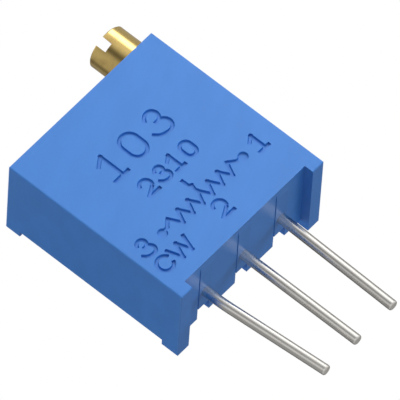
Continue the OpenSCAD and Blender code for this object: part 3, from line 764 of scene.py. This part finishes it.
def tent_level(azimuth, elevation):
    """The low band, mixed into the high band above it and the floor band below it, plus a
    spot e^(-(da / width)^2 - (de / height)^2), then mixed into one dim level deep below and
    one bright level at the top."""
    low, high, ground = (band_level(band, azimuth) for band in (LOW_BAND, HIGH_BAND, FLOOR_BAND))
    level = mix(low, high, smooth(elevation, *HIGH_FADE))
    level = mix(level, ground, smooth(-elevation, *FLOOR_FADE))
    da = (azimuth - SPOT_AZIMUTH + 180) % 360 - 180
    de = elevation - SPOT_ELEVATION
    level = level + SPOT_LEVEL * np.exp(-((da / SPOT_WIDTH) ** 2) - (de / SPOT_HEIGHT) ** 2)
    level = mix(level, level * DEEP_KEPT + DEEP_LEVEL, smooth(-elevation, *DEEP_FADE))
    return mix(level, TOP_LEVEL, smooth(elevation, *TOP_FADE))


print("tent level to the front right:", round(float(tent_level(40.0, 20.0)), 2))


# %% Light tent for reflections
def light_tent():
    """A sphere seen from inside, as a grid of elevation and azimuth. Its 'glow' attribute
    is the tent's level in that direction, and glossy rays are the only ones that meet it."""
    elevations = np.arange(-TENT_END, TENT_END + 1, TENT_STEP)
    azimuths = np.arange(-180, 180, TENT_STEP)
    elevation, azimuth = np.meshgrid(elevations, azimuths, indexing="ij")
    e, a = np.radians(elevation), np.radians(azimuth)
    outwards = np.stack([np.sin(a) * np.cos(e), -np.cos(a) * np.cos(e), np.sin(e)], -1)
    tent = closed_tube("light_tent", outwards * TENT_R + TENT_CENTRE)
    levels = np.append(tent_level(azimuth, elevation), [BOTTOM_LEVEL, TOP_LEVEL])
    layer = tent.data.attributes.new("glow", "FLOAT", "POINT")
    layer.data.foreach_set("value", levels.astype(np.float32))
    cloth = Finish("tent_cloth")
    glow = cloth.node("ShaderNodeAttribute", {"attribute_name": "glow"}, output="Color")
    cloth.set(base_color=(0, 0, 0), roughness=1.0, specular_ior_level=0.0)
    cloth.set(emission_color=glow, emission_strength=1.0)
    tent.data.materials.append(cloth.material)
    tent.visible_camera = False
    tent.visible_diffuse = False
    tent.visible_shadow = False
    tent.visible_transmission = False
    tent.visible_volume_scatter = False
    return tent


print("tent faces:", len(light_tent().data.polygons))

# %% Lamps
LAMP_DISTANCE, LAMP_TARGET = 0.7, Vector((0, 0, 0.005))


def soft_lamp(name, azimuth, elevation, size, watts):
    """A square area lamp that faces the part and isn't seen in reflections."""
    lamp = bpy.data.lights.new(name, "AREA")
    lamp.size = size
    lamp.energy = watts
    holder = bpy.data.objects.new(name, lamp)
    back = camera_axes(azimuth, elevation, 0)[2]
    holder.location = LAMP_TARGET + back * LAMP_DISTANCE
    holder.rotation_euler = back.to_track_quat("Z", "Y").to_euler()
    holder.visible_glossy = False
    holder.visible_camera = False
    bpy.context.scene.collection.objects.link(holder)
    print(name, "at", [round(v, 2) for v in holder.location], "with", watts, "watts")


soft_lamp("key_lamp", 32, 28, 0.6, 3.37)
soft_lamp("left_lamp", -110, 30, 0.5, 1.38)
soft_lamp("under_lamp", 60, -35, 0.4, 1.38)
soft_lamp("rear_lamp", 165, 35, 0.6, 3.2)

# %% [markdown]
# ## The room
# The room has two levels. What lights the part is an even grey, but the camera,
# mirror reflections and clear things see plain white, because three outputs of
# the Light Path node raise the level to 1 for those rays. The floor is far
# below, pale and matt, so it takes only a very soft shadow.

# %% Room and floor
AMBIENT = 0.33
FLOOR_Z, FLOOR_HALF = -0.9, 3
world = bpy.data.worlds.new("room")
world.use_nodes = True
bpy.context.scene.world = world
bpy.context.scene.view_settings.view_transform = "Standard"
tree = world.node_tree
rays = tree.nodes.new("ShaderNodeLightPath")
seen = rays.outputs["Is Camera Ray"]
for kind in ("Is Glossy Ray", "Is Transmission Ray"):
    larger = tree.nodes.new("ShaderNodeMath")
    larger.operation = "MAXIMUM"
    tree.links.new(seen, larger.inputs[0])
    tree.links.new(rays.outputs[kind], larger.inputs[1])
    seen = larger.outputs[0]
strength = tree.nodes.new("ShaderNodeMapRange")
strength.inputs["To Min"].default_value = AMBIENT
strength.inputs["To Max"].default_value = 1
tree.links.new(seen, strength.inputs["Value"])
tree.links.new(strength.outputs["Result"], tree.nodes["Background"].inputs["Strength"])
tree.nodes["Background"].inputs["Color"].default_value = (1, 1, 1, 1)

corners = [(x * FLOOR_HALF, y * FLOOR_HALF, FLOOR_Z) for x, y in ((-1, -1), (1, -1), (1, 1), (-1, 1))]
floor_mesh = bpy.data.meshes.new("floor")
floor_mesh.from_pydata(corners, [], [(0, 1, 2, 3)])
floor = bpy.data.objects.new("floor", floor_mesh)
bpy.context.scene.collection.objects.link(floor)
paper = Finish("floor_paper").set(base_color=(0.86, 0.86, 0.85), roughness=0.8)
floor.data.materials.append(paper.material)
print("room level", AMBIENT, "floor at", FLOOR_Z, "m")
